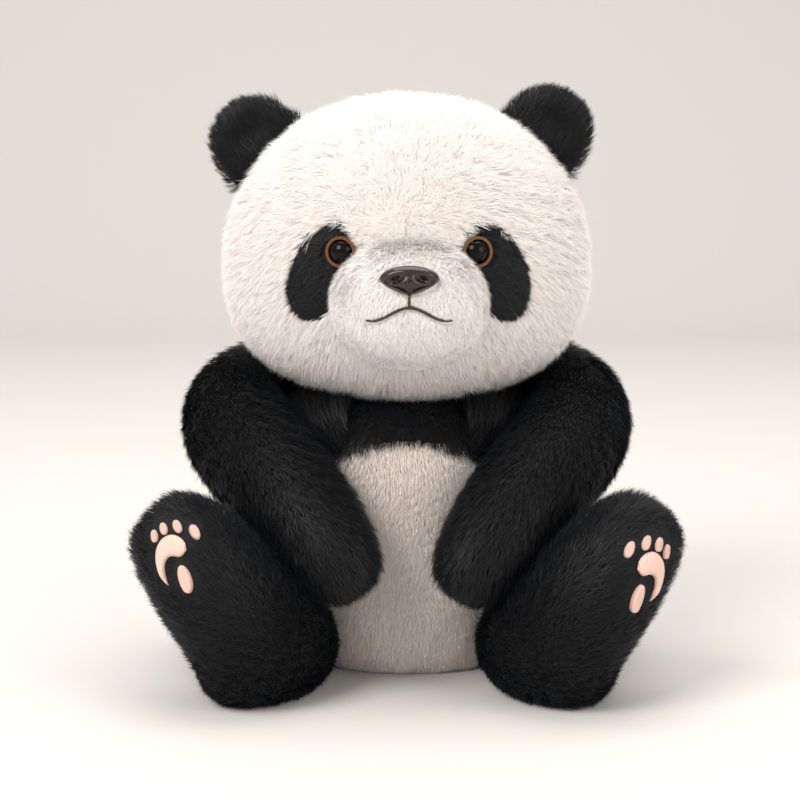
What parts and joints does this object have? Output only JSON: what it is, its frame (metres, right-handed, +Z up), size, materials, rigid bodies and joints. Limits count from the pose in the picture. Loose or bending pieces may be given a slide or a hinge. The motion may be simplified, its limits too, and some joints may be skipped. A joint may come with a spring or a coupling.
{
  "type": "plush panda",
  "caption": "Sitting plush panda sewn from pile fabric over separate stuffings, with limbs, ears, tail and head that bend at their seams.",
  "frame": {"origin": "centre of the seat's flat face, on the ground", "axes": "+Z up, the panda faces -Y, and its own left side is +X"},
  "size_m": [0.2732, 0.2622, 0.3088],
  "materials": {
    "white_pile": "long soft pile",
    "black_pile": "long soft pile",
    "stuffing": "loose polyester fibre",
    "pellet_cloth": "plain weave",
    "pad_embroidery": "satin stitch",
    "dark_thread": "twisted thread",
    "black_thread": "twisted thread",
    "white_thread": "twisted thread",
    "amber_plastic": "clear over amber",
    "black_plastic": "high gloss",
    "brown_plastic": "high gloss",
    "washer_plastic": "moulded"
  },
  "bodies": {
    "torso": {"belly_panel": "white_pile", "lower_back_panel": "white_pile", "front_yoke": "black_pile", "back_yoke": "black_pile", "seat_panel": "white_pile", "torso_stuffing": "stuffing", "pellet_bag": "pellet_cloth", "closing_seam": "white_thread", "left_shoulder_seam": "black_thread", "right_shoulder_seam": "black_thread", "left_hip_seam": "black_thread", "right_hip_seam": "black_thread"},
    "neck": {"neck_sleeve": "black_pile", "neck_stuffing": "stuffing"},
    "head": {"face_panel": "white_pile", "head_back_panel": "white_pile", "head_stuffing": "stuffing", "muzzle_panel": "white_pile", "muzzle_stuffing": "stuffing", "nose": "brown_plastic", "nose_washer": "washer_plastic", "mouth_stitching": "dark_thread", "left_eye_patch": "black_pile", "left_eye_ring": "amber_plastic", "left_eye": "black_plastic", "left_eye_washer": "washer_plastic", "right_eye_patch": "black_pile", "right_eye_ring": "amber_plastic", "right_eye": "black_plastic", "right_eye_washer": "washer_plastic"},
    "left_ear": {"left_ear_front": "black_pile", "left_ear_back": "black_pile", "left_ear_wadding": "stuffing"},
    "right_ear": {"right_ear_front": "black_pile", "right_ear_back": "black_pile", "right_ear_wadding": "stuffing"},
    "left_arm": {"left_arm_outer_panel": "black_pile", "left_arm_inner_panel": "black_pile", "left_arm_stuffing": "stuffing"},
    "right_arm": {"right_arm_outer_panel": "black_pile", "right_arm_inner_panel": "black_pile", "right_arm_stuffing": "stuffing"},
    "left_leg": {"left_leg_outer_panel": "black_pile", "left_leg_inner_panel": "black_pile", "left_leg_stuffing": "stuffing", "left_paw_pads": "pad_embroidery"},
    "right_leg": {"right_leg_outer_panel": "black_pile", "right_leg_inner_panel": "black_pile", "right_leg_stuffing": "stuffing", "right_paw_pads": "pad_embroidery"},
    "tail": {"tail_upper_panel": "white_pile", "tail_lower_panel": "white_pile", "tail_stuffing": "stuffing"}
  },
  "joints": [
    {"name": "neck_turn", "type": "hinge", "parent": "torso", "child": "neck", "pos_m": [0, -0.014, 0.1404], "axis": [0, 0, 1], "range_deg": [-12, 12], "stiffness_Nm_per_rad": 3},
    {"name": "head_nod", "type": "hinge", "parent": "neck", "child": "head", "pos_m": [0, -0.014, 0.1474], "axis": [1, 0, 0], "range_deg": [-4, 5], "stiffness_Nm_per_rad": 4},
    {"name": "left_arm_lift", "type": "hinge", "parent": "torso", "child": "left_arm", "pos_m": [0.0844, 0.004, 0.136], "axis": [-1, 0, 0], "range_deg": [0, 25], "stiffness_Nm_per_rad": 1.5},
    {"name": "left_leg_spread", "type": "hinge", "parent": "torso", "child": "left_leg", "pos_m": [0.1004, 0.002, 0.031], "axis": [0, 0, 1], "range_deg": [0, 18], "stiffness_Nm_per_rad": 2},
    {"name": "left_ear_fold", "type": "hinge", "parent": "head", "child": "left_ear", "pos_m": [0.0709, -0.01, 0.28048], "axis": [0.829, 0, -0.5592], "range_deg": [-8, 8], "stiffness_Nm_per_rad": 0.3},
    {"name": "right_arm_lift", "type": "hinge", "parent": "torso", "child": "right_arm", "pos_m": [-0.0844, 0.004, 0.136], "axis": [-1, 0, 0], "range_deg": [0, 25], "stiffness_Nm_per_rad": 1.5},
    {"name": "right_leg_spread", "type": "hinge", "parent": "torso", "child": "right_leg", "pos_m": [-0.1004, 0.002, 0.031], "axis": [0, 0, -1], "range_deg": [0, 18], "stiffness_Nm_per_rad": 2},
    {"name": "right_ear_fold", "type": "hinge", "parent": "head", "child": "right_ear", "pos_m": [-0.07586, -0.01, 0.27526], "axis": [0.766, 0, 0.6428], "range_deg": [-8, 8], "stiffness_Nm_per_rad": 0.3},
    {"name": "tail_wag", "type": "hinge", "parent": "torso", "child": "tail", "pos_m": [0, 0.07693, 0.034], "axis": [0, 0, 1], "range_deg": [-15, 15], "stiffness_Nm_per_rad": 0.3}
  ]
}
